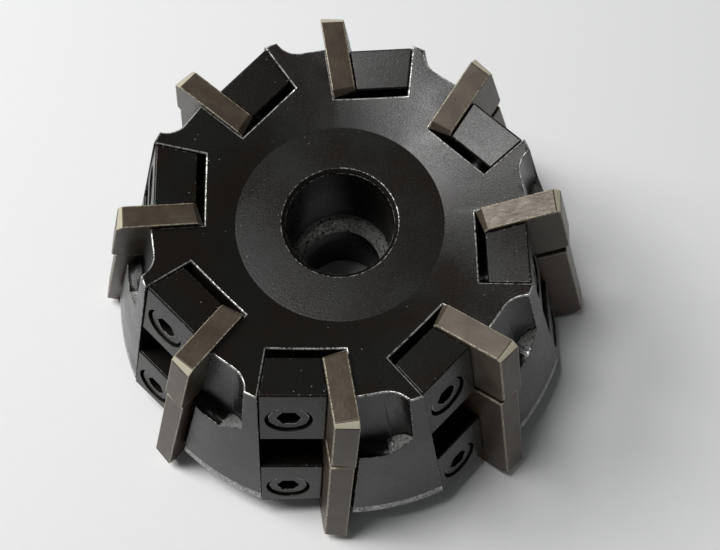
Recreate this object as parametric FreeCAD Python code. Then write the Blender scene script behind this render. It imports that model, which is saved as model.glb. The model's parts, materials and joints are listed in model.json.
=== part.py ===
import FreeCAD, Part

import math
import os

# A 75 degree face mill: a conical steel body with eight slots.
# Each slot holds a front insert, a rear insert, and a clamping wedge with its cap screw behind each of them.
# Millimetres. The origin is on the bore axis in the plane of the hub's back face, +Z towards the cutting face.
# The cutter is right-handed: seen from the cutting face it turns counter-clockwise.

# Whole cutter
TEETH = 8
TIP_RADIUS = 50.0            # sharp corner of a front insert
TIP_HEIGHT = 63.7            # the same corner above the back face
LEAD_ANGLE = 15.0            # cone of the periphery, and dish of the front face
AXIAL_RAKE = 5.1             # the rear end of a slot trails
RADIAL_RAKE = 4.0            # the outer end of a rake face leads

# Body of revolution
FACE_EDGE_RADIUS = 47.0      # where the front face meets the cone
FACE_EDGE_HEIGHT = 61.5
DISH_RADIUS = 24.5           # the dished front face ends in a flat ring
RIM_HEIGHT = 8.5             # lower end of the cone, above the hub's back face
RIM_CHAMFER = 1.0
HUB_RADIUS = 45.0            # boss that carries the cone clear of the arbor's flange
HUB_CHAMFER = 0.8
BORE_CHAMFER = 1.0
PILOT_RADIUS = 11.0          # 22 mm arbor bore
PILOT_TOP = 20.0
PASSAGE_RADIUS = 9.9         # for the arbor screw
SEAT_BOTTOM = 25.2           # conical seat of the arbor screw
SEAT_TOP = 29.7
COUNTERBORE_RADIUS = 12.8    # for the head of the arbor screw
BACK_LAND_RADIUS = 25.0      # ring that bears on the arbor's flange
BACK_RELIEF_RADIUS = 38.0
BACK_RELIEF = 1.0
DRIVE_SLOT_WIDTH = 10.4      # standard across-slot for a 22 mm arbor
DRIVE_SLOT_DEPTH = 6.3
DRIVE_SLOT_REACH = 48.0

# Inserts, in the frame of one tooth: x out along the rake face, y towards the gullet, z up the cutting edge
INSERT_THICKNESS = 5.6
INSERT_RELIEF = 11.0         # every side leans in from the rake face
FRONT_INSERT_REACH = 0.55    # its edge stands out from the tip radius
FRONT_INSERT_DEPTH = 20.15
FRONT_INSERT_LENGTH = 21.9
FRONT_INSERT_CORNER = 1.6
REAR_INSERT_DEPTH = 18.2
REAR_INSERT_SETBACK = 0.4    # its edge stands in from the tip radius's line
REAR_INSERT_TOP = 22.2
REAR_INSERT_CORNER = 2.6
REAR_INSERT_LENGTH = 43.0
CORNER_SHARE = 2.0 - math.sqrt(2.0)  # how much of an inset a chamfered corner's leg loses
EDGE_BREAK = 0.2             # ground edge of an insert
INSERT_CLEARANCE = 0.4       # rear inserts stop this far above the back face
WEDGE_CLEARANCE = 0.3        # rear wedges stop this far above the rim

# Slot and wedges, in the same frame
SLOT_DEPTH = 19.7            # floor below the insert's cutting edge, at the rake face
WEDGE_ANGLE = 15.5           # between the insert's back and the far wall
SLOT_WIDTH = 17.7            # across the floor
SEAT_GAP = 0.02              # between clamped flat faces
WEDGE_FACE_X = -9.7          # outer face of a wedge, on its screw's axis
WEDGE_DEPTH = 10.0
WEDGE_BREAK = 0.35
FRONT_WEDGE_TOP = -2.0
FRONT_WEDGE_BOTTOM = -22.5
REAR_WEDGE_TOP = -36.8
SLOT_END = 80.0              # length of the cutting tools that clear the whole body

# Clamp screws: M6 socket head cap screws
SCREW_Y = -14.1
FRONT_SCREW_Z = -13.0
REAR_SCREW_Z = -48.4
SCREW_RADIUS = 3.0
SCREW_CLEARANCE_RADIUS = 3.3
SCREW_LENGTH = 14.0
THREAD_GAP = 0.05
HEAD_RADIUS = 5.0
HEAD_HEIGHT = 6.0
HEAD_SINK = 0.5
HEAD_CHAMFER = 0.45
HEX_ACROSS_FLATS = 5.0
HEX_DEPTH = 3.0
COUNTERBORE_GAP = 0.4
TAPPED_DEPTH = 12.0

# Chip gullet in front of the front insert, and the narrow flute in front of the rear one
GULLET_RADIUS = 6.0          # corner between its back wall and its far wall
GULLET_X = -1.25             # centre of that corner
GULLET_Y = 5.95
GULLET_FLARE = 8.0           # its far wall leans away downwards
GULLET_LENGTH = 23.8
GULLET_FLOOR = 8.8           # width of its flat floor, before the slanted one begins
GULLET_SLANT = 49.0
GULLET_OVERCUT = 2.0
FLUTE_WIDTH = 1.7            # at the cone
FLUTE_DEPTH = 2.6
CONE_X = -3.3                # where the cone meets the rake face


def tan(degrees):
    """Tangent of an angle in degrees."""
    return math.tan(math.radians(degrees))


def vector(x, y, z=0.0):
    """A point or direction."""
    return FreeCAD.Vector(x, y, z)


def prism(outline, direction):
    """A solid from a closed outline of points, pushed along a direction."""
    wire = Part.makePolygon(outline + outline[:1])
    return Part.Face(wire).extrude(direction)


def tooth_placement(tooth):
    """Where the frame of one tooth stands on the cutter; tooth 1 points along +Y and the count runs clockwise."""
    lead = math.radians(LEAD_ANGLE)
    up = vector(-math.sin(lead), math.sin(math.radians(AXIAL_RAKE)), math.cos(lead))
    out = vector(math.cos(lead), math.sin(math.radians(RADIAL_RAKE)), math.sin(lead))
    across = up.cross(out)
    frame = FreeCAD.Rotation(out, across, up, "ZXY")
    azimuth = 90.0 - (tooth - 1) * 360.0 / TEETH
    turn = FreeCAD.Placement(vector(0, 0), FreeCAD.Rotation(vector(0, 0, 1), azimuth))
    return turn.multiply(FreeCAD.Placement(vector(TIP_RADIUS, 0, TIP_HEIGHT), frame))


def put(shape, placement):
    """A copy of a shape moved to a placement."""
    moved = shape.copy()
    moved.Placement = placement.multiply(moved.Placement)
    return moved


def above(shape, height):
    """The part of a placed shape that lies above a height."""
    side = 4.0 * TIP_RADIUS
    block = Part.makeBox(side, side, side, vector(-side / 2, -side / 2, height))
    return shape.common(block).Solids[0]


def body_of_revolution():
    """The turned blank: cone, dished front face, stepped bore, and hub with a relieved back."""
    slope = tan(LEAD_ANGLE)
    rim_radius = FACE_EDGE_RADIUS + (FACE_EDGE_HEIGHT - RIM_HEIGHT) * slope
    ring_height = FACE_EDGE_HEIGHT - (FACE_EDGE_RADIUS - DISH_RADIUS) * slope
    outline = [
        vector(PILOT_RADIUS + BORE_CHAMFER, 0, 0),
        vector(BACK_LAND_RADIUS, 0, 0),
        vector(BACK_LAND_RADIUS, 0, BACK_RELIEF),
        vector(BACK_RELIEF_RADIUS, 0, BACK_RELIEF),
        vector(BACK_RELIEF_RADIUS, 0, 0),
        vector(HUB_RADIUS - HUB_CHAMFER, 0, 0),
        vector(HUB_RADIUS, 0, HUB_CHAMFER),
        vector(HUB_RADIUS, 0, RIM_HEIGHT),
        vector(rim_radius - RIM_CHAMFER, 0, RIM_HEIGHT),
        vector(rim_radius - RIM_CHAMFER * slope, 0, RIM_HEIGHT + RIM_CHAMFER),
        vector(FACE_EDGE_RADIUS, 0, FACE_EDGE_HEIGHT),
        vector(DISH_RADIUS, 0, ring_height),
        vector(COUNTERBORE_RADIUS + BORE_CHAMFER, 0, ring_height),
        vector(COUNTERBORE_RADIUS, 0, ring_height - BORE_CHAMFER),
        vector(COUNTERBORE_RADIUS, 0, SEAT_TOP),
        vector(PASSAGE_RADIUS, 0, SEAT_BOTTOM),
        vector(PASSAGE_RADIUS, 0, PILOT_TOP),
        vector(PILOT_RADIUS, 0, PILOT_TOP),
        vector(PILOT_RADIUS, 0, BORE_CHAMFER),
    ]
    wire = Part.makePolygon(outline + outline[:1])
    return Part.Face(wire).revolve(vector(0, 0), vector(0, 0, 1), 360).Solids[0]


def drive_slots():
    """The two drive slots, one each side of the bore, as one tool along X."""
    length = 2 * DRIVE_SLOT_REACH
    corner = vector(-DRIVE_SLOT_REACH, -DRIVE_SLOT_WIDTH / 2, -1.0)
    return Part.makeBox(length, DRIVE_SLOT_WIDTH, DRIVE_SLOT_DEPTH + 1.0, corner)


def far_wall_y(x):
    """Where the far wall of the slot is at a given x."""
    corner_x = -SLOT_DEPTH - SLOT_WIDTH * tan(WEDGE_ANGLE / 2)
    return -SLOT_WIDTH - (x - corner_x) * tan(WEDGE_ANGLE)


def slot_tool():
    """The slot that takes inserts and wedges, open at the periphery and at both ends."""
    corner_x = -SLOT_DEPTH - SLOT_WIDTH * tan(WEDGE_ANGLE / 2)
    outside = GULLET_RADIUS + 2.0
    outline = [
        vector(outside, 0, -SLOT_END),
        vector(-SLOT_DEPTH, 0, -SLOT_END),
        vector(corner_x, -SLOT_WIDTH, -SLOT_END),
        vector(outside, far_wall_y(outside), -SLOT_END),
    ]
    return prism(outline, vector(0, 0, 1.3 * SLOT_END))


def gullet_tool():
    """The chip gullet: an open channel with one rounded corner, a leaning far wall and a floor that slants up to it."""
    low = -GULLET_LENGTH
    middle = GULLET_Y + GULLET_LENGTH * tan(GULLET_FLARE)
    far = middle + GULLET_RADIUS
    inner = GULLET_X - GULLET_RADIUS
    outside = GULLET_RADIUS + 4.0
    round_x = GULLET_X - GULLET_RADIUS * math.cos(math.radians(45))
    round_y = middle + GULLET_RADIUS * math.sin(math.radians(45))
    corner = Part.Arc(vector(GULLET_X, far, low), vector(round_x, round_y, low), vector(inner, middle, low))
    rest = Part.makePolygon([
        vector(inner, middle, low),
        vector(inner, -GULLET_OVERCUT, low),
        vector(outside, -GULLET_OVERCUT, low),
        vector(outside, far, low),
        vector(GULLET_X, far, low),
    ])
    section = Part.Face(Part.Wire([corner.toShape()] + rest.Edges))
    rise = GULLET_LENGTH + outside
    channel = section.extrude(vector(0, -rise * tan(GULLET_FLARE), rise))
    run = 2.0 * GULLET_RADIUS
    slant = [
        vector(-outside, GULLET_FLOOR, low),
        vector(-outside, GULLET_FLOOR + run, low + run * tan(GULLET_SLANT)),
        vector(-outside, GULLET_FLOOR + run, low - 1.0),
        vector(-outside, GULLET_FLOOR, low - 1.0),
    ]
    return channel.cut(prism(slant, vector(2.0 * outside, 0)))


def flute_tool():
    """The narrow flute along the rake face of the rear insert, from the gullet out through the rim."""
    reach = 2.0 * FLUTE_DEPTH
    outline = [
        vector(CONE_X - FLUTE_DEPTH, -GULLET_OVERCUT, -SLOT_END),
        vector(CONE_X - FLUTE_DEPTH, 0, -SLOT_END),
        vector(CONE_X + reach, FLUTE_WIDTH * (reach + FLUTE_DEPTH) / FLUTE_DEPTH, -SLOT_END),
        vector(CONE_X + reach, -GULLET_OVERCUT, -SLOT_END),
    ]
    return prism(outline, vector(0, 0, SLOT_END - GULLET_LENGTH + 1.0))


def screw_axis():
    """Direction of a clamp screw, outwards, in the frame of a tooth."""
    half = math.radians(WEDGE_ANGLE / 2)
    return vector(math.cos(half), -math.sin(half))


def screw_place(z):
    """Point on a screw's axis in the outer face of its wedge."""
    return vector(WEDGE_FACE_X, SCREW_Y, z)


def screw_rod(z, radius, start, length):
    """A cylinder on a screw's axis that begins at a depth below the wedge's outer face and runs inwards."""
    axis = screw_axis()
    return Part.makeCylinder(radius, length, screw_place(z) - axis * start, axis * -1.0)


def tapped_hole(z):
    """The hole in the slot's floor that takes a screw, plain at the thread's outer size."""
    start = WEDGE_DEPTH - 1.0
    return screw_rod(z, SCREW_RADIUS + THREAD_GAP, start, TAPPED_DEPTH + 2.5)


def relieved_block(outline_at):
    """An insert with relieved sides; outline_at gives its outline at an inset and a place across."""
    inset = INSERT_THICKNESS * tan(INSERT_RELIEF)
    rake_face = outline_at(0.0, 0.0)
    back_face = outline_at(inset, -INSERT_THICKNESS)
    corners = zip(rake_face, rake_face[1:] + rake_face[:1], back_face[1:] + back_face[:1], back_face)
    outlines = [rake_face, back_face] + [list(side) for side in corners]
    faces = [Part.Face(Part.makePolygon(points + points[:1])) for points in outlines]
    block = Part.Solid(Part.Shell(faces))
    if block.Volume < 0:
        block.reverse()
    return block.makeChamfer(EDGE_BREAK, block.Edges)


def front_insert_outline(inset, y):
    """The square front insert's outline, with four chamfered corners."""
    cut = FRONT_INSERT_CORNER - inset * CORNER_SHARE
    right = FRONT_INSERT_REACH - inset
    left = FRONT_INSERT_REACH - FRONT_INSERT_DEPTH + inset
    top = -inset
    low = -FRONT_INSERT_LENGTH + inset
    return [
        vector(left + cut, y, top),
        vector(right - cut, y, top),
        vector(right, y, top - cut),
        vector(right, y, low + cut),
        vector(right - cut, y, low),
        vector(left + cut, y, low),
        vector(left, y, low + cut),
        vector(left, y, top - cut),
    ]


def rear_insert_outline(inset, y):
    """The longer rear insert's outline, with a chamfer at its lower outer corner."""
    cut = REAR_INSERT_CORNER - inset * CORNER_SHARE
    right = -REAR_INSERT_SETBACK - inset
    left = -REAR_INSERT_SETBACK - REAR_INSERT_DEPTH + inset
    top = -REAR_INSERT_TOP - inset
    low = -REAR_INSERT_TOP - REAR_INSERT_LENGTH + inset
    return [
        vector(left, y, top),
        vector(right, y, top),
        vector(right, y, low + cut),
        vector(right - cut, y, low),
        vector(left, y, low),
    ]


def wedge(top, bottom, screw_z):
    """A clamping wedge between two heights, with the counterbored hole of its screw."""
    slope = tan(WEDGE_ANGLE / 2)
    near_y = -INSERT_THICKNESS - SEAT_GAP
    outer_near_x = WEDGE_FACE_X + (near_y - SCREW_Y) * slope
    inner_near_x = outer_near_x - WEDGE_DEPTH
    lean = tan(WEDGE_ANGLE)
    corner_y = far_wall_y(0.0) + SEAT_GAP
    outer_far_y = (corner_y - lean * (outer_near_x - near_y * slope)) / (1.0 + lean * slope)
    inner_far_y = (corner_y - lean * (inner_near_x - near_y * slope)) / (1.0 + lean * slope)
    outline = [
        vector(outer_near_x, near_y, bottom),
        vector(inner_near_x, near_y, bottom),
        vector(inner_near_x + (inner_far_y - near_y) * slope, inner_far_y, bottom),
        vector(outer_near_x + (outer_far_y - near_y) * slope, outer_far_y, bottom),
    ]
    block = prism(outline, vector(0, 0, top - bottom))
    block = block.makeChamfer(WEDGE_BREAK, block.Edges)
    pocket = screw_rod(screw_z, HEAD_RADIUS + COUNTERBORE_GAP, -2.0, HEAD_SINK + HEAD_HEIGHT + 2.0)
    passage = screw_rod(screw_z, SCREW_CLEARANCE_RADIUS, 0.0, WEDGE_DEPTH + 2.0)
    return block.cut(pocket).cut(passage).Solids[0]


def hexagon_tool(z):
    """The hexagon socket of a screw's head."""
    axis = screw_axis()
    corner_radius = HEX_ACROSS_FLATS / 2 / math.cos(math.radians(30))
    centre = screw_place(z) - axis * (HEAD_SINK - 0.5)
    side = axis.cross(vector(0, 0, 1))
    points = []
    for step in range(6):
        angle = math.radians(60 * step)
        offset = side * (corner_radius * math.cos(angle)) + vector(0, 0, corner_radius * math.sin(angle))
        points.append(centre + offset)
    return prism(points, axis * -(HEX_DEPTH + 0.5))


def clamp_screw(z):
    """An M6 socket head cap screw in its wedge; its thread is a plain shank."""
    head = screw_rod(z, HEAD_RADIUS, HEAD_SINK, HEAD_HEIGHT)
    rims = [edge for edge in head.Edges if edge.Closed]
    head = head.makeChamfer(HEAD_CHAMFER, rims)
    shank = screw_rod(z, SCREW_RADIUS, HEAD_SINK + HEAD_HEIGHT - 0.5, SCREW_LENGTH + 0.5)
    return head.fuse(shank).cut(hexagon_tool(z)).Solids[0]


def cutter_body(placements):
    """The body with every slot, gullet and tapped hole cut from the blank."""
    body = body_of_revolution().cut(drive_slots())
    tools = [slot_tool(), gullet_tool(), flute_tool(), tapped_hole(FRONT_SCREW_Z), tapped_hole(REAR_SCREW_Z)]
    for placement in placements:
        body = body.cut([put(tool, placement) for tool in tools])
    return body.Solids[0]


def save(shape, name):
    """Write one node and say how large it is."""
    shape.exportStep("parts/" + name + ".step")
    print(name, len(shape.Solids), "solid", round(shape.Volume, 1), "mm3", "valid", shape.isValid())


def main():
    """Build every node of the cutter."""
    os.makedirs("parts", exist_ok=True)
    placements = [tooth_placement(tooth) for tooth in range(1, TEETH + 1)]
    save(cutter_body(placements), "cutter_body")
    pieces = {
        "front_insert": relieved_block(front_insert_outline),
        "rear_insert": relieved_block(rear_insert_outline),
        "front_wedge": wedge(FRONT_WEDGE_TOP, FRONT_WEDGE_BOTTOM, FRONT_SCREW_Z),
        "rear_wedge": wedge(REAR_WEDGE_TOP, -SLOT_END, REAR_SCREW_Z),
        "front_screw": clamp_screw(FRONT_SCREW_Z),
        "rear_screw": clamp_screw(REAR_SCREW_Z),
    }
    for name, piece in pieces.items():
        for tooth, placement in enumerate(placements, start=1):
            placed = put(piece, placement)
            if name == "rear_insert":
                placed = above(placed, INSERT_CLEARANCE)
            if name == "rear_wedge":
                placed = above(placed, RIM_HEIGHT + WEDGE_CLEARANCE)
            save(placed, name + "_" + str(tooth))


main()
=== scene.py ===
import json
import logging
import math
from dataclasses import dataclass, field
from enum import Enum
from typing import NamedTuple

import bmesh
import bpy
from mathutils import Matrix, Vector

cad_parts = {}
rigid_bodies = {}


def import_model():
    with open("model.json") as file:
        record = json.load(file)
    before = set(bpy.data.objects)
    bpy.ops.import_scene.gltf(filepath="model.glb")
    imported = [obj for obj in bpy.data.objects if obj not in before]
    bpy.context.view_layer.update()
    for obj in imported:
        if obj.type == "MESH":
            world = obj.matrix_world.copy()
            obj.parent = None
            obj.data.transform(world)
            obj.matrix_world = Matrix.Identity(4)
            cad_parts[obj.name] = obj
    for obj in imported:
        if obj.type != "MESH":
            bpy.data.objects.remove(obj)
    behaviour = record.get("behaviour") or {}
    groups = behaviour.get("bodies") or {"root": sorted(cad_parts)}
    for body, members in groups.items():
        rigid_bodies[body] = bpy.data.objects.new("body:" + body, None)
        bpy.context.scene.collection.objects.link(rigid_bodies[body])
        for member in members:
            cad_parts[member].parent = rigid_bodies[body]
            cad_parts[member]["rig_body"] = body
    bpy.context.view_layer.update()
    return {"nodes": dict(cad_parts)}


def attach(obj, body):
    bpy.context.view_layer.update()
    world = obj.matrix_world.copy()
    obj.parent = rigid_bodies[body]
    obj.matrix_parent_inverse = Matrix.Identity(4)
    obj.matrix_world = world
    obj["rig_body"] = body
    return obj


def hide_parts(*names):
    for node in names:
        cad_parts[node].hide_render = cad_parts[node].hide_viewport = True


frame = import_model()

LOG = logging.getLogger("face_mill")
MM = 0.001
TEETH = 8

Socket = bpy.types.NodeSocket
Tint = tuple[float, float, float]
Span = tuple[float, float]
UNIT: Span = (0.0, 1.0)


class Row(Enum):
    """The two rows of clamped blades: one at the face, one behind it at the rim."""

    FRONT = "front"
    REAR = "rear"


class Marks(Enum):
    """The attributes that a piece's mesh carries for its finish, including painted highlights on the body's
    rim land, pocket floors and bore seat.
    """

    BARE_AND_PAINTED_LIGHT = "bare"
    BENCH = "bench"
    CUT = "cut"
    HAZE_AND_PAINTED_LIGHT = "haze"


class Wear(NamedTuple):
    """How bare, how scored by the cutter and how grey one face is, each from 0 to 1; on the body's rim land,
    pocket floors and bore seat the silver and grey are partly painted highlight.
    """

    bare: float
    cut: float = 0.0
    haze: float = 0.0


@dataclass(frozen=True)
class ToothAxes:
    """The directions a tooth is machined along; sizes in millimetres, angles in degrees."""

    tip_radius: float = 50.0
    tip_height: float = 63.7
    lead: float = 15.0
    axial_rake: float = 5.1
    radial_rake: float = 4.0

    def placement(self, tooth: int) -> Matrix:
        """Where one tooth's axes stand in the row frame.

        Args:
            tooth: The tooth's number, 1 to 8, clockwise seen from the face.

        Returns:
            The matrix from tooth axes in millimetres to the row frame in metres.
        """
        lead = math.radians(self.lead)
        upward = Vector((-math.sin(lead), math.sin(math.radians(self.axial_rake)), math.cos(lead)))
        upward.normalize()
        rake_line = Vector((math.cos(lead), math.sin(math.radians(self.radial_rake)), math.sin(lead)))
        across = upward.cross(rake_line).normalized()
        outward = across.cross(upward)
        columns = Matrix((outward, across, upward)).transposed().to_4x4()
        columns.translation = Vector((self.tip_radius, 0.0, self.tip_height))
        turn = Matrix.Rotation(math.radians(90 - 360 / TEETH * (tooth - 1)), 4, "Z")
        return Matrix.Scale(MM, 4) @ turn @ columns


class Graph:
    """The node tree of one finish, with short calls for the nodes it uses."""

    def __init__(self, name: str) -> None:
        """Starts a material with one shader and the piece's own coordinates.

        Args:
            name: The material's name.
        """
        self.material = bpy.data.materials.new(name)
        self.material.use_nodes = True
        self.nodes = self.material.node_tree.nodes
        self.links = self.material.node_tree.links
        self.nodes.clear()
        self.shader = self.nodes.new("ShaderNodeBsdfPrincipled")
        output = self.nodes.new("ShaderNodeOutputMaterial")
        self.links.new(self.shader.outputs["BSDF"], output.inputs["Surface"])
        self.place = self.nodes.new("ShaderNodeTexCoord").outputs["Object"]

    def feed(self, socket: Socket, value: object) -> None:
        """Gives a socket its value.

        Args:
            socket: The input to fill.
            value: An output to link to it, or a number, tuple or vector to set there.
        """
        if isinstance(value, Socket):
            self.links.new(value, socket)
        else:
            socket.default_value = value

    def attribute(self, mark: Marks, output: str) -> Socket:
        """Reads one of the mesh's marks.

        Args:
            mark: Which one.
            output: The name of the attribute node's output.

        Returns:
            That output.
        """
        node = self.nodes.new("ShaderNodeAttribute")
        node.attribute_name = mark.value
        return node.outputs[output]

    def stretch(self, source: Socket, factors: tuple[float, float, float]) -> Socket:
        """Scales coordinates by a different factor along each axis.

        Args:
            source: The coordinates.
            factors: What x, y and z are multiplied by.

        Returns:
            The scaled coordinates.
        """
        node = self.nodes.new("ShaderNodeVectorMath")
        node.operation = "MULTIPLY"
        self.feed(node.inputs[0], source)
        self.feed(node.inputs[1], factors)
        return node.outputs[0]

    def noise(self, source: Socket, scale: float, detail: float = 2.0, rough: float = 0.5) -> Socket:
        """A soft random pattern.

        Args:
            source: The coordinates it is read at.
            scale: Blotches per unit of those coordinates.
            detail: How many finer layers it has.
            rough: How strong the finer layers are.

        Returns:
            A value near 0.5 that runs between 0 and 1.
        """
        node = self.nodes.new("ShaderNodeTexNoise")
        self.feed(node.inputs["Vector"], source)
        node.inputs["Scale"].default_value = scale
        node.inputs["Detail"].default_value = detail
        node.inputs["Roughness"].default_value = rough
        return node.outputs[0]

    def cells(self, source: Socket, scale: float) -> Socket:
        """One random value for each grain.

        Args:
            source: The coordinates it is read at.
            scale: Grains per unit of those coordinates.

        Returns:
            A value from 0 to 1, the same all over one grain.
        """
        node = self.nodes.new("ShaderNodeTexVoronoi")
        self.feed(node.inputs["Vector"], source)
        node.inputs["Scale"].default_value = scale
        split = self.nodes.new("ShaderNodeSeparateColor")
        self.feed(split.inputs[0], node.outputs["Color"])
        return split.outputs[0]

    def radius(self) -> Socket:
        """Measures from the spindle axis.

        Returns:
            The distance in metres.
        """
        flat = self.stretch(self.place, (1.0, 1.0, 0.0))
        node = self.nodes.new("ShaderNodeVectorMath")
        node.operation = "LENGTH"
        self.feed(node.inputs[0], flat)
        return node.outputs["Value"]

    def math(self, operation: str, first: object, second: object = 0.0) -> Socket:
        """Works out one value from two.

        Args:
            operation: The math node's operation.
            first: A number or an output.
            second: Another.

        Returns:
            The result.
        """
        node = self.nodes.new("ShaderNodeMath")
        node.operation = operation
        self.feed(node.inputs[0], first)
        self.feed(node.inputs[1], second)
        return node.outputs[0]

    def spread(self, value: Socket, over: Span, onto: Span = UNIT) -> Socket:
        """Maps one span of values onto another, and holds the ends outside it.

        Args:
            value: The value to map.
            over: The span it is taken from.
            onto: The span it is mapped to.

        Returns:
            The mapped value.
        """
        node = self.nodes.new("ShaderNodeMapRange")
        self.feed(node.inputs["Value"], value)
        for name, number in zip(("From Min", "From Max", "To Min", "To Max"), (*over, *onto)):
            node.inputs[name].default_value = number
        return node.outputs[0]

    def blend(self, part: object, first: object, second: object) -> Socket:
        """Mixes two colours.

        Args:
            part: How much of the second there is, from 0 to 1.
            first: A colour, or an output that gives one.
            second: Another.

        Returns:
            The mixed colour.
        """
        node = self.nodes.new("ShaderNodeMix")
        node.data_type = "RGBA"
        self.feed(node.inputs[0], part)
        self.feed(node.inputs[6], first if isinstance(first, Socket) else (*first, 1.0))
        self.feed(node.inputs[7], second if isinstance(second, Socket) else (*second, 1.0))
        return node.outputs[2]

    def edge_of(self, pattern: Socket, mark: Marks, over: Span) -> Socket:
        """A ragged mask: more of the pattern shows the more a face is marked.

        Args:
            pattern: A random pattern from 0 to 1.
            mark: The mesh's mark that raises it.
            over: Where their sum less 1 turns from none to all.

        Returns:
            The mask, from 0 to 1.
        """
        raised = self.math("ADD", self.math("ADD", pattern, self.attribute(mark, "Fac")), -1.0)
        return self.spread(raised, over)

    def relief(self, height: Socket, depth: float, under: Socket | None = None) -> Socket:
        """A bumped normal.

        Args:
            height: The pattern, 0 at its low points and 1 at its high points.
            depth: How deep it is in metres.
            under: A coarser bumped normal that it lies on, if any.

        Returns:
            The normal.
        """
        node = self.nodes.new("ShaderNodeBump")
        node.inputs["Distance"].default_value = depth
        self.feed(node.inputs["Height"], height)
        if under is not None:
            self.feed(node.inputs["Normal"], under)
        return node.outputs[0]


@dataclass(frozen=True)
class BlackOxide:
    """Blackened steel: near black with a brown cast, fine grain, and bare silver where it has rubbed and
    where a painted highlight is marked.

    Scales are in blotches per metre and depths in metres.
    """

    name: str
    tone: Tint = (0.0095, 0.0068, 0.0050)
    film: Tint = (0.0068, 0.0073, 0.0058)
    steel: Tint = (0.50, 0.50, 0.48)
    # lighter grey: greyed oxide on the cone, painted highlight on the body's rim land, pocket floors and bore
    # seat
    grey_and_painted_light: Tint = (0.026, 0.028, 0.029)
    grain: float = 2600.0
    grain_depth: float = 0.000030
    roughness: float = 0.27
    sparkle: float = 0.9996
    turned: float = 0.0
    gloss: float = 0.25
    film_scale: float = 70.0
    film_span: Span = (0.42, 0.62)
    haze_span: Span = (0.35, 0.65)
    haze_share: Span = (0.5, 1.0)
    specks_per_grain: float = 1.6
    speck_strength: float = 0.30
    rub_scale: float = 1200.0
    rub_span: Span = (-0.06, 0.10)
    bare_metal: float = 0.55
    grain_span: Span = (0.3, 0.7)
    grain_roughness: float = 0.07
    film_roughness: Span = (-0.04, 0.05)
    ring_scale: float = 2400.0
    score_stretch: tuple[float, float, float] = (0.35, 2.6, 0.35)
    score_depth: float = 0.00022

    def material(self) -> bpy.types.Material:
        """Makes the finish.

        Returns:
            The material.
        """
        g = Graph(self.name)
        cloud = g.noise(g.place, self.film_scale, 3.0)
        grain = g.noise(g.place, self.grain, 3.0, 0.7)
        # silver where the bare mark is: rubbed corners, and painted highlight on the body's rim land, pocket
        # floors and bore seat
        bare = g.edge_of(g.noise(g.place, self.rub_scale, 3.0, 0.8), Marks.BARE_AND_PAINTED_LIGHT, self.rub_span)
        g.feed(g.shader.inputs["Base Color"], g.blend(bare, self.oxide(g, cloud, grain), self.steel))
        g.feed(g.shader.inputs["Metallic"], g.math("MULTIPLY", bare, self.bare_metal))
        g.shader.inputs["Specular IOR Level"].default_value = self.gloss
        span = (self.roughness - self.grain_roughness, self.roughness + self.grain_roughness)
        rough = g.spread(grain, self.grain_span, span)
        rough = g.math("ADD", rough, g.spread(cloud, self.haze_span, self.film_roughness))
        g.feed(g.shader.inputs["Roughness"], rough)
        g.feed(g.shader.inputs["Normal"], self.surface(g, grain))
        return g.material

    def oxide(self, g: Graph, cloud: Socket, grain: Socket) -> Socket:
        """The blackened colour, a lighter grey where it is marked, which is greyed oxide on the cone and
        painted highlight on the rim land, pocket floors and seat, and with a few bright specks.

        Args:
            g: The finish's node tree.
            cloud: The wide pattern of the film.
            grain: The fine pattern of the steel.

        Returns:
            The colour.
        """
        oxide = g.blend(g.spread(cloud, self.film_span), self.tone, self.film)
        share = g.spread(grain, self.haze_span, self.haze_share)
        oxide = g.blend(g.math("MULTIPLY", g.attribute(Marks.HAZE_AND_PAINTED_LIGHT, "Fac"), share), oxide, self.grey_and_painted_light)
        speck = g.math("GREATER_THAN", g.cells(g.place, self.grain * self.specks_per_grain), self.sparkle)
        return g.blend(g.math("MULTIPLY", speck, self.speck_strength), oxide, self.steel)

    def surface(self, g: Graph, grain: Socket) -> Socket:
        """The grain, the lathe's rings where there are any, and the milling scores.

        Args:
            g: The finish's node tree.
            grain: The fine pattern of the steel.

        Returns:
            The bumped normal.
        """
        normal = g.relief(grain, self.grain_depth)
        if self.turned:
            rings = g.nodes.new("ShaderNodeCombineXYZ")
            g.feed(rings.inputs[0], g.radius())
            normal = g.relief(g.noise(rings.outputs[0], self.ring_scale), self.turned, normal)
        along = g.stretch(g.attribute(Marks.BENCH, "Vector"), self.score_stretch)
        score = g.math("MULTIPLY", g.noise(along, 1.0), g.attribute(Marks.CUT, "Fac"))
        return g.relief(score, self.score_depth, normal)


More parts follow.
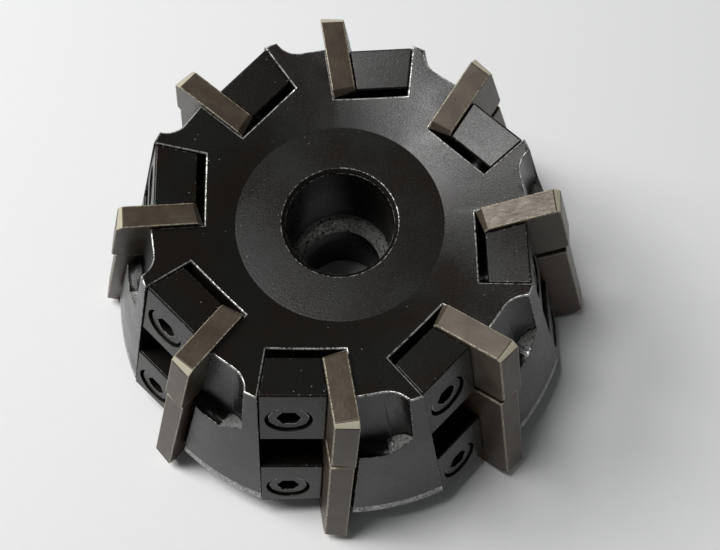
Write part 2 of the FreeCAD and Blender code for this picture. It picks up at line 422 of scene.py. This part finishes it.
@dataclass(frozen=True)
class GroundCarbide:
    """Ground carbide: a warm grey-brown metal with fine parallel grinding lines, bright broken edges and a
    painted highlight on the blade's ground corner.

    Scales are in blotches per millimetre and depths in metres.
    """

    name: str
    tone: Tint = (0.092, 0.074, 0.053)
    stain: Tint = (0.064, 0.047, 0.034)
    # bright colour of broken edges, and painted highlight on the blade's ground corner
    edge: Tint = (0.56, 0.52, 0.40)
    metal: float = 0.18
    gloss: float = 0.25
    roughness: float = 0.34
    lines: tuple[float, float, float] = (0.5, 0.5, 9.0)
    line_depth: float = 0.000012
    line_stain: Span = (0.30, 0.0)
    line_span: Span = (0.35, 0.70)
    cloud_scale: float = 0.22
    cloud_span: Span = (0.38, 0.66)
    pit_scale: float = 3.2
    pit_depth: float = 0.00002
    edge_span: Span = (-0.10, 0.12)
    rough_span: Span = (0.3, 0.7)
    line_roughness: float = 0.08
    pit_roughness: Span = (-0.04, 0.06)

    def material(self) -> bpy.types.Material:
        """Makes the finish.

        Returns:
            The material.
        """
        g = Graph(self.name)
        bench = g.attribute(Marks.BENCH, "Vector")
        lines = g.noise(g.stretch(bench, self.lines), 1.0, 3.0, 0.6)
        cloud = g.noise(bench, self.cloud_scale, 3.0)
        pits = g.noise(bench, self.pit_scale, 3.0, 0.7)
        body = g.blend(g.spread(cloud, self.cloud_span), self.tone, self.stain)
        body = g.blend(g.spread(lines, self.line_span, self.line_stain), body, self.stain)
        # bright edges: rubbed corners, and painted highlight on the ground corner
        bright = g.edge_of(pits, Marks.BARE_AND_PAINTED_LIGHT, self.edge_span)
        g.feed(g.shader.inputs["Base Color"], g.blend(bright, body, self.edge))
        g.shader.inputs["Metallic"].default_value = self.metal
        g.shader.inputs["Specular IOR Level"].default_value = self.gloss
        span = (self.roughness - self.line_roughness, self.roughness + self.line_roughness)
        rough = g.spread(lines, self.rough_span, span)
        rough = g.math("ADD", rough, g.spread(pits, self.rough_span, self.pit_roughness))
        g.feed(g.shader.inputs["Roughness"], rough)
        g.feed(g.shader.inputs["Normal"], g.relief(lines, self.line_depth, g.relief(pits, self.pit_depth)))
        return g.material


@dataclass(frozen=True)
class TableTop:
    """The pale matt board the cutter lies on."""

    name: str = "pale_table"
    tone: Tint = (0.86, 0.865, 0.86)
    shade: float = 0.985
    fibre_scale: float = 420.0
    fibre_depth: float = 0.00001
    fibre_span: Span = (0.3, 0.7)
    roughness: Span = (0.62, 0.72)
    gloss: float = 0.25

    def material(self) -> bpy.types.Material:
        """Makes the finish.

        Returns:
            The material.
        """
        g = Graph(self.name)
        fibre = g.noise(g.place, self.fibre_scale, 4.0, 0.6)
        shaded = tuple(c * self.shade for c in self.tone)
        g.feed(g.shader.inputs["Base Color"], g.blend(fibre, self.tone, shaded))
        g.feed(g.shader.inputs["Roughness"], g.spread(fibre, self.fibre_span, self.roughness))
        g.shader.inputs["Specular IOR Level"].default_value = self.gloss
        g.feed(g.shader.inputs["Normal"], g.relief(fibre, self.fibre_depth))
        return g.material


@dataclass
class Blank:
    """One CAD piece worked up: flats joined into whole faces, corners broken, and marked for its finish."""

    node: str
    material: bpy.types.Material
    slot: str
    tooth: int = 0
    corner: float = 0.12 * MM
    worn: float = 0.5
    segments: int = 2
    crease: float = math.radians(12.5)
    sharp: float = math.radians(24)
    flat: float = math.radians(0.5)
    weld: float = 0.002 * MM
    hard_width: float = 2.4
    hard_wear: float = 0.09
    bench_shift: tuple[float, float, float] = (37.0, 11.0, 23.0)

    def build(self) -> bpy.types.Object:
        """Makes the piece and puts it in place of its CAD node.

        Returns:
            The piece, riding on its body.
        """
        source = frame["nodes"][self.node]
        mesh = bpy.data.meshes.new(f"{self.node}_worked")
        work = bmesh.new()
        work.from_mesh(source.data)
        bmesh.ops.remove_doubles(work, verts=work.verts, dist=self.weld)
        bmesh.ops.dissolve_limit(work, angle_limit=self.flat, verts=work.verts, edges=work.edges)
        self.part_bands(work)
        self.finish_faces(work)
        self.lay_out(work)
        work.to_mesh(mesh)
        work.free()
        piece = bpy.data.objects.new(f"{self.node}_worked", mesh)
        bpy.context.scene.collection.objects.link(piece)
        mesh.materials.append(self.material)
        normals = piece.modifiers.new("flat_faces", "WEIGHTED_NORMAL")
        normals.keep_sharp = True
        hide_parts(self.node)
        LOG.info("%s: %d faces", piece.name, len(mesh.polygons))
        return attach(piece, source["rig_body"])

    def finish_faces(self, work: bmesh.types.BMesh) -> None:
        """Breaks the corners, marks every face for its finish and keeps the creases crisp.

        Args:
            work: The piece's mesh.
        """
        layers = work.faces.layers.float
        bare, cut, haze = (layers.new(mark.value) for mark in (Marks.BARE_AND_PAINTED_LIGHT, Marks.CUT, Marks.HAZE_AND_PAINTED_LIGHT))
        self.break_corners(work, bare)
        for face in work.faces:
            face.smooth = True
            face[bare], face[cut], face[haze] = self.mark(face, face[bare])
        for edge in work.edges:
            rounded = any(0.0 < face[bare] for face in edge.link_faces)
            gentle = rounded or edge.calc_face_angle(0.0) < self.crease
            edge.smooth = len(edge.link_faces) == 2 and gentle

    def part_bands(self, work: bmesh.types.BMesh) -> None:
        """Parts a face where its finish changes; a plain piece has one finish all over."""

    def rubbed_most(self, edge: bmesh.types.BMEdge) -> bool:
        """Whether an outer corner has had the hardest wear; none has on a plain piece."""
        return False

    def break_corners(self, work: bmesh.types.BMesh, bare: bmesh.types.BMLayerItem) -> None:
        """Takes the sharp outer corners off, the most worn ones first and further, and marks where they were.

        Args:
            work: The piece's mesh.
            bare: The face layer for rubbed metal.
        """
        hard = (True, self.corner * self.hard_width, self.worn + self.hard_wear)
        for most, width, worn in (hard, (False, self.corner, self.worn)):
            edges = [e for e in work.edges if self.is_corner(e, bare) and self.rubbed_most(e) == most]
            if not edges:
                continue
            made = bmesh.ops.bevel(
                work,
                geom=edges,
                offset=width,
                offset_type="OFFSET",
                segments=self.segments,
                profile=0.5,
                affect="EDGES",
                clamp_overlap=False,
                miter_outer="SHARP",
            )
            for face in made["faces"]:
                face[bare] = worn

    def is_corner(self, edge: bmesh.types.BMEdge, bare: bmesh.types.BMLayerItem) -> bool:
        """Whether an edge is a sharp outer corner that has not been broken yet.

        Args:
            edge: The edge.
            bare: The face layer for rubbed metal.

        Returns:
            True if it is to be broken.
        """
        outer = len(edge.link_faces) == 2 and edge.is_convex and edge.calc_face_angle(0.0) > self.sharp
        return outer and not any(face[bare] for face in edge.link_faces)

    def mark(self, face: bmesh.types.BMFace, rubbed: float) -> Wear:
        """How worn one face is; a plain piece shows only its rubbed corners."""
        return Wear(rubbed)

    def bench_of(self, face: bmesh.types.BMFace) -> Matrix:
        """The axes a face is machined along, from the row frame in metres to millimetres."""
        return ToothAxes().placement(self.tooth).inverted() if self.tooth else Matrix.Scale(1 / MM, 4)

    def lay_out(self, work: bmesh.types.BMesh) -> None:
        """Gives each corner of each face its place along the tooth's own axes.

        Args:
            work: The piece's mesh.
        """
        layer = work.loops.layers.float_vector.new(Marks.BENCH.value)
        shift = Vector(self.bench_shift) * self.tooth
        for face in work.faces:
            bench = self.bench_of(face)
            for loop in face.loops:
                loop[layer] = bench @ loop.vert.co + shift


@dataclass
class BodyBlank(Blank):
    """The cutter body: its seat, rim land and chip pockets are painted brighter than the rest as painted
    highlight, over real cutter scores in the seat and pockets.
    """

    rim_height: float = 12.6 * MM
    rim_inside: float = 56.0 * MM
    rim_edge_inside: float = 59.8 * MM
    # how far the rim land is painted silver: painted highlight, not wear
    rim_painted_highlight: float = 0.54
    seat_span: Span = (25.0 * MM, 30.0 * MM)
    seat_radius: float = 12.8 * MM
    # the seat's cutter scores are real; its silver and grey are partly painted highlight
    seat_scores_and_painted_light: Wear = Wear(0.56, 0.7, 0.3)
    pocket_slope: Span = (0.45, 0.90)
    pocket_span: Span = (20.0 * MM, 58.0 * MM)
    pocket_inside: float = 34.0 * MM
    # the pocket floors' cutter scores are real; their silver and grey are partly painted highlight
    pocket_scores_and_painted_light: Wear = Wear(0.58, 1.0, 1.0)
    pocket_lag: float = 0.16
    face_height: float = 54.5 * MM
    face_level: float = 0.9
    ring_radius: float = 26.0 * MM
    cone_inside: float = 45.0 * MM
    cone_outward: float = 0.9
    cone_haze: float = 0.8

    def part_bands(self, work: bmesh.types.BMesh) -> None:
        """Parts the cone along the top of the land that runs round its rim, which is painted brighter as a
        painted highlight.

        Args:
            work: The body's mesh.
        """
        everything = [*work.verts, *work.edges, *work.faces]
        level = Vector((0.0, 0.0, self.rim_height))
        bmesh.ops.bisect_plane(work, geom=everything, plane_co=level, plane_no=(0.0, 0.0, 1.0))

    def rubbed_most(self, edge: bmesh.types.BMEdge) -> bool:
        """Whether an edge borders the dished face outside its flat ring, or the rim.

        Args:
            edge: The edge.

        Returns:
            True if it does.
        """
        ends = [v.co for v in edge.verts]
        radius = min(math.hypot(p.x, p.y) for p in ends)
        high = min(p.z for p in ends) > self.face_height
        at_face = high and any(f.normal.z > self.face_level for f in edge.link_faces)
        at_rim = max(p.z for p in ends) < self.rim_height and radius > self.rim_edge_inside
        return (at_face and radius > self.ring_radius) or at_rim

    def nearest_tooth(self, point: Vector) -> int:
        """The number of the tooth whose pocket a point lies in or next to."""
        turn = math.degrees(math.atan2(point.y, point.x)) - 90.0
        return round(-turn / 360.0 * TEETH - self.pocket_lag) % TEETH + 1

    def bench_of(self, face: bmesh.types.BMFace) -> Matrix:
        """The axes of the tooth that a face belongs to."""
        return ToothAxes().placement(self.nearest_tooth(face.calc_center_median())).inverted()

    def mark(self, face: bmesh.types.BMFace, rubbed: float) -> Wear:
        """Marks the bore's seat, the land round the rim, the cone and the pockets' sloping floors; the seat,
        the rim land and the floors carry painted highlight.

        Args:
            face: One face of the body.
            rubbed: How far its corner is rubbed bare already.

        Returns:
            The wear of the face.
        """
        centre = face.calc_center_median()
        radius = math.hypot(centre.x, centre.y)
        # the bore's seat: real cutter scores with partly painted highlight
        if self.seat_span[0] < centre.z < self.seat_span[1] and radius < self.seat_radius:
            return self.seat_scores_and_painted_light
        # the rim land: painted highlight in silver and grey, over any rubbed corner
        if centre.z < self.rim_height and radius > self.rim_inside:
            return Wear(max(rubbed, self.rim_painted_highlight), 0.0, 1.0)
        # the pockets' sloping floors: real cutter scores with partly painted highlight
        steep = self.pocket_slope[0] < face.normal.z < self.pocket_slope[1]
        deep = radius > self.pocket_inside and self.pocket_span[0] < centre.z < self.pocket_span[1]
        if steep and deep and rubbed == 0.0:
            return self.pocket_scores_and_painted_light
        outward = (face.normal.x * centre.x + face.normal.y * centre.y) / max(radius, MM)
        on_cone = outward > self.cone_outward and radius > self.cone_inside
        return Wear(rubbed, 0.0, self.cone_haze if on_cone else 0.0)


@dataclass
class BladeBlank(Blank):
    """A blade: its broken outer corner is painted brighter than its flats as a painted highlight."""

    # how far the ground corner is painted bright: painted highlight
    ground: float = 0.80
    ground_tilt: float = 0.5

    def mark(self, face: bmesh.types.BMFace, rubbed: float) -> Wear:
        """Marks the ground corner between the blade's end and its outer side as a painted highlight.

        Args:
            face: One face of the blade.
            rubbed: How far its corner is rubbed bare already.

        Returns:
            The wear of the face.
        """
        normal = self.bench_of(face).to_3x3() @ face.normal * MM
        corner = normal.x > self.ground_tilt and abs(normal.z) > self.ground_tilt
        return Wear(max(rubbed, self.ground) if corner else rubbed)


@dataclass
class CutterBody:
    """The blackened steel body with its eight slots, pockets and bore."""

    node: str = "cutter_body"
    finish: BlackOxide = BlackOxide("body_black_oxide", turned=0.000012)
    corner: float = 0.14 * MM
    worn: float = 0.46

    def build(self) -> bpy.types.Object:
        """Builds and dresses the body.

        Returns:
            The body.
        """
        steel = self.finish.material()
        return BodyBlank(self.node, steel, "body_steel", corner=self.corner, worn=self.worn).build()


@dataclass
class Blades:
    """One row of eight carbide blades."""

    row: Row
    finish: GroundCarbide
    corner: float = 0.12 * MM
    worn: float = 0.50

    def build(self) -> list[bpy.types.Object]:
        """Builds and dresses the row.

        Returns:
            The blades in the order of their teeth.
        """
        material = self.finish.material()
        row = self.row.value
        return [
            BladeBlank(f"{row}_insert_{t}", material, f"{row}_carbide", t, self.corner, self.worn).build()
            for t in range(1, TEETH + 1)
        ]


@dataclass
class Clamps:
    """One row of eight clamping wedges with their cap screws."""

    row: Row
    wedge_finish: bpy.types.Material
    screw_finish: bpy.types.Material
    wedge_corner: float = 0.14 * MM
    wedge_worn: float = 0.34
    screw_corner: float = 0.10 * MM
    screw_worn: float = 0.50

    def build(self) -> list[bpy.types.Object]:
        """Builds and dresses the row.

        Returns:
            The wedges and screws in the order of their teeth.
        """
        kinds = (
            ("wedge", self.wedge_finish, self.wedge_corner, self.wedge_worn),
            ("screw", self.screw_finish, self.screw_corner, self.screw_worn),
        )
        return [
            Blank(f"{self.row.value}_{kind}_{t}", finish, f"{kind}_steel", t, corner, worn).build()
            for t in range(1, TEETH + 1)
            for kind, finish, corner, worn in kinds
        ]


@dataclass(frozen=True)
class Panel:
    """One soft studio light."""

    name: str
    towards: tuple[float, float, float]
    distance: float
    size: Span
    power: float
    colour: Tint = (1.0, 1.0, 1.0)

    def build(self, aim: Vector) -> None:
        """Hangs the panel and turns it to face the cutter.

        Args:
            aim: The point it faces, in metres.
        """
        light = bpy.data.lights.new(self.name, "AREA")
        light.shape = "RECTANGLE"
        light.size, light.size_y = self.size
        light.energy = self.power
        light.color = self.colour
        lamp = bpy.data.objects.new(self.name, light)
        back = Vector(self.towards).normalized()
        lamp.location = aim + back * self.distance
        lamp.rotation_mode = "QUATERNION"
        lamp.rotation_quaternion = back.to_track_quat("Z", "Y")
        bpy.context.scene.collection.objects.link(lamp)


@dataclass(frozen=True)
class Viewpoint:
    """Where the cutter is looked at from: millimetres, and angles in degrees about a point near its face."""

    target: tuple[float, float, float] = (3.10, -16.67, 63.7)
    distance: float = 243.2
    tilt: float = 19.97
    turn: float = -4.79
    roll: float = -0.98
    lens: float = 54.88
    nearest: float = 10.0

    def build(self) -> None:
        """Makes the scene's camera."""
        data = bpy.data.cameras.new("viewpoint")
        data.lens = self.lens
        data.clip_start = self.nearest * MM
        camera = bpy.data.objects.new("viewpoint", data)
        swing = Matrix.Rotation(math.radians(self.turn), 4, "Z")
        lean = Matrix.Rotation(math.radians(self.tilt), 4, "X")
        spin = Matrix.Rotation(math.radians(self.roll), 4, "Z")
        back = Matrix.Translation((0.0, 0.0, self.distance * MM))
        camera.matrix_world = Matrix.Translation(Vector(self.target) * MM) @ swing @ lean @ back @ spin
        bpy.context.scene.collection.objects.link(camera)
        bpy.context.scene.camera = camera


@dataclass
class Studio:
    """The table, the lights and the room's dim glow."""

    table: TableTop = TableTop()
    table_size: float = 6.0
    table_gap: float = 0.1 * MM
    glow: Tint = (0.084, 0.088, 0.089)
    aim: tuple[float, float, float] = (0.0, 0.0, 0.03)
    panels: tuple[Panel, ...] = (
        Panel("overhead_left", (-0.27, 0.15, 0.952), 0.90, (0.24, 0.24), 4.1),
        Panel("window_left", (-0.62, 0.31, 0.72), 1.20, (0.50, 0.50), 7.9),
    )

    def build(self) -> None:
        """Sets the studio up round the cutter."""
        mesh = bpy.data.meshes.new("table")
        half = self.table_size / 2
        corners = [(-half, -half, 0.0), (half, -half, 0.0), (half, half, 0.0), (-half, half, 0.0)]
        mesh.from_pydata(corners, [], [(0, 1, 2, 3)])
        mesh.materials.append(self.table.material())
        table = bpy.data.objects.new("table", mesh)
        table.location.z = -self.table_gap
        bpy.context.scene.collection.objects.link(table)
        world = bpy.data.worlds.new("room")
        world.use_nodes = True
        world.node_tree.nodes["Background"].inputs["Color"].default_value = (*self.glow, 1.0)
        bpy.context.scene.world = world
        bpy.context.scene.view_settings.view_transform = "Standard"
        for panel in self.panels:
            panel.build(Vector(self.aim))
            LOG.info("light %s hung", panel.name)


@dataclass
class FaceMill:
    """The whole cutter."""

    body: CutterBody = field(default_factory=CutterBody)
    wedge: BlackOxide = BlackOxide("wedge_black_oxide", roughness=0.28, sparkle=0.9992)
    screw: BlackOxide = BlackOxide(
        "screw_black_oxide", (0.0075, 0.0058, 0.0045), roughness=0.29, sparkle=0.9995
    )
    front: GroundCarbide = GroundCarbide("front_ground_carbide")
    rear: GroundCarbide = GroundCarbide(
        "rear_ground_carbide", (0.080, 0.054, 0.037), (0.054, 0.034, 0.024)
    )

    def build(self) -> None:
        """Builds every sub-assembly and reports what it made."""
        self.body.build()
        wedge = self.wedge.material()
        screw = self.screw.material()
        for row, finish in ((Row.FRONT, self.front), (Row.REAR, self.rear)):
            blades = Blades(row, finish).build()
            clamps = Clamps(row, wedge, screw).build()
            LOG.info("%s row: %d blades, %d wedges and screws", row.value, len(blades), len(clamps))


def main() -> None:
    """Builds the cutter, the studio and the viewpoint."""
    logging.basicConfig(level=logging.INFO, format="%(message)s")
    FaceMill().build()
    Studio().build()
    Viewpoint().build()


if __name__ == "__main__":
    main()
